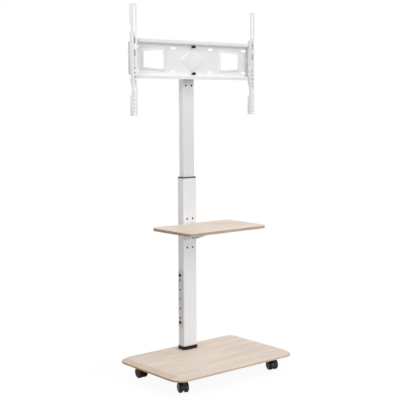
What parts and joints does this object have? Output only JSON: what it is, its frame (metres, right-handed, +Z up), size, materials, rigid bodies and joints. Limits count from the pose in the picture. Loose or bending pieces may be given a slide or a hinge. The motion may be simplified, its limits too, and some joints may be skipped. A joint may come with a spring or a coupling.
{
  "type": "tv stand with mount",
  "caption": "Rolling screen stand: casters under a wooden base board, telescoping steel post, clamped wooden shelf, and a slotted head plate with two hooked screen arms.",
  "frame": {"origin": "on the floor under the middle of the base board", "axes": "+Z up, +Y to the back, +X to the right as seen from the front; the screen faces -Y"},
  "size_m": [0.622, 0.391, 1.458],
  "materials": {
    "white_steel": "white powder coat",
    "zinc_steel": "zinc plated",
    "black_steel": "black oxide",
    "black_plastic": "satin black",
    "grey_plastic": "dark grey",
    "pale_wood": "pale wood-grain laminate"
  },
  "bodies": {
    "base": {"base_board": "pale_wood", "clamp_plate": "zinc_steel", "base_bolt_1": "zinc_steel", "base_bolt_2": "zinc_steel", "base_bolt_3": "zinc_steel", "base_bolt_4": "zinc_steel", "base_collar": "black_plastic", "outer_column": "white_steel", "column_bushing": "grey_plastic", "side_strip": "white_steel", "strip_screw_1": "black_steel", "strip_screw_2": "black_steel", "lock_screw_1": "black_steel", "lock_screw_2": "black_steel", "caster_front_left_stem": "zinc_steel", "caster_front_right_stem": "zinc_steel", "caster_rear_left_stem": "zinc_steel", "caster_rear_right_stem": "zinc_steel"},
    "mast": {"inner_column": "white_steel", "inner_cap": "black_plastic", "inner_glide": "grey_plastic", "head_plate": "white_steel", "head_saddle": "white_steel", "head_bolt_upper": "black_steel", "head_nut_upper": "zinc_steel", "head_bolt_lower": "black_steel", "head_nut_lower": "zinc_steel"},
    "arm_left": {"arm_left": "white_steel", "arm_screw_left": "zinc_steel"},
    "arm_right": {"arm_right": "white_steel", "arm_screw_right": "zinc_steel"},
    "shelf": {"shelf_board": "pale_wood", "shelf_bracket": "white_steel", "shelf_wood_screw_1": "zinc_steel", "shelf_wood_screw_2": "zinc_steel", "shelf_wood_screw_3": "zinc_steel", "shelf_wood_screw_4": "zinc_steel", "shelf_column_screw_1": "black_steel", "shelf_column_screw_2": "black_steel", "shelf_column_screw_3": "black_steel", "shelf_column_screw_4": "black_steel"},
    "caster_front_left": {"caster_front_left_hood": "black_plastic", "caster_front_left_axle": "zinc_steel"},
    "wheel_front_left_left": {"caster_front_left_wheel_left": "grey_plastic"},
    "wheel_front_left_right": {"caster_front_left_wheel_right": "grey_plastic"},
    "caster_front_right": {"caster_front_right_hood": "black_plastic", "caster_front_right_axle": "zinc_steel"},
    "wheel_front_right_left": {"caster_front_right_wheel_left": "grey_plastic"},
    "wheel_front_right_right": {"caster_front_right_wheel_right": "grey_plastic"},
    "caster_rear_left": {"caster_rear_left_hood": "black_plastic", "caster_rear_left_axle": "zinc_steel"},
    "wheel_rear_left_left": {"caster_rear_left_wheel_left": "grey_plastic"},
    "wheel_rear_left_right": {"caster_rear_left_wheel_right": "grey_plastic"},
    "caster_rear_right": {"caster_rear_right_hood": "black_plastic", "caster_rear_right_axle": "zinc_steel"},
    "wheel_rear_right_left": {"caster_rear_right_wheel_left": "grey_plastic"},
    "wheel_rear_right_right": {"caster_rear_right_wheel_right": "grey_plastic"}
  },
  "joints": [
    {"name": "mast_slide", "type": "slide", "parent": "base", "child": "mast", "axis": [0, 0, 1], "range_m": [-0.235, 0.1]},
    {"name": "shelf_slide", "type": "slide", "parent": "base", "child": "shelf", "axis": [0, 0, 1], "range_m": [-0.0392, 0.0392]},
    {"name": "arm_left_slide", "type": "slide", "parent": "mast", "child": "arm_left", "axis": [1, 0, 0], "range_m": [0, 0.2]},
    {"name": "arm_right_slide", "type": "slide", "parent": "mast", "child": "arm_right", "axis": [1, 0, 0], "range_m": [-0.2, 0]},
    {"name": "caster_front_left_swivel", "type": "hinge", "parent": "base", "child": "caster_front_left", "pos_m": [-0.235, -0.146, 0.05], "axis": [0, 0, 1], "continuous": true},
    {"name": "caster_front_left_wheel_left_spin", "type": "hinge", "parent": "caster_front_left", "child": "wheel_front_left_left", "pos_m": [-0.22884, -0.12909, 0.021], "axis": [0.9397, -0.342, 0], "continuous": true},
    {"name": "caster_front_left_wheel_right_spin", "type": "hinge", "parent": "caster_front_left", "child": "wheel_front_left_right", "pos_m": [-0.22884, -0.12909, 0.021], "axis": [0.9397, -0.342, 0], "continuous": true},
    {"name": "caster_front_right_swivel", "type": "hinge", "parent": "base", "child": "caster_front_right", "pos_m": [0.235, -0.146, 0.05], "axis": [0, 0, 1], "continuous": true},
    {"name": "caster_front_right_wheel_left_spin", "type": "hinge", "parent": "caster_front_right", "child": "wheel_front_right_left", "pos_m": [0.23874, -0.12839, 0.021], "axis": [0.9781, -0.2079, 0], "continuous": true},
    {"name": "caster_front_right_wheel_right_spin", "type": "hinge", "parent": "caster_front_right", "child": "wheel_front_right_right", "pos_m": [0.23874, -0.12839, 0.021], "axis": [0.9781, -0.2079, 0], "continuous": true},
    {"name": "caster_rear_left_swivel", "type": "hinge", "parent": "base", "child": "caster_rear_left", "pos_m": [-0.235, 0.146, 0.05], "axis": [0, 0, 1], "continuous": true},
    {"name": "caster_rear_left_wheel_left_spin", "type": "hinge", "parent": "caster_rear_left", "child": "wheel_rear_left_left", "pos_m": [-0.235, 0.128, 0.021], "axis": [-1, 0, 0], "continuous": true},
    {"name": "caster_rear_left_wheel_right_spin", "type": "hinge", "parent": "caster_rear_left", "child": "wheel_rear_left_right", "pos_m": [-0.235, 0.128, 0.021], "axis": [-1, 0, 0], "continuous": true},
    {"name": "caster_rear_right_swivel", "type": "hinge", "parent": "base", "child": "caster_rear_right", "pos_m": [0.235, 0.146, 0.05], "axis": [0, 0, 1], "continuous": true},
    {"name": "caster_rear_right_wheel_left_spin", "type": "hinge", "parent": "caster_rear_right", "child": "wheel_rear_right_left", "pos_m": [0.23034, 0.12861, 0.021], "axis": [-0.9659, 0.2588, 0], "continuous": true},
    {"name": "caster_rear_right_wheel_right_spin", "type": "hinge", "parent": "caster_rear_right", "child": "wheel_rear_right_right", "pos_m": [0.23034, 0.12861, 0.021], "axis": [-0.9659, 0.2588, 0], "continuous": true}
  ]
}
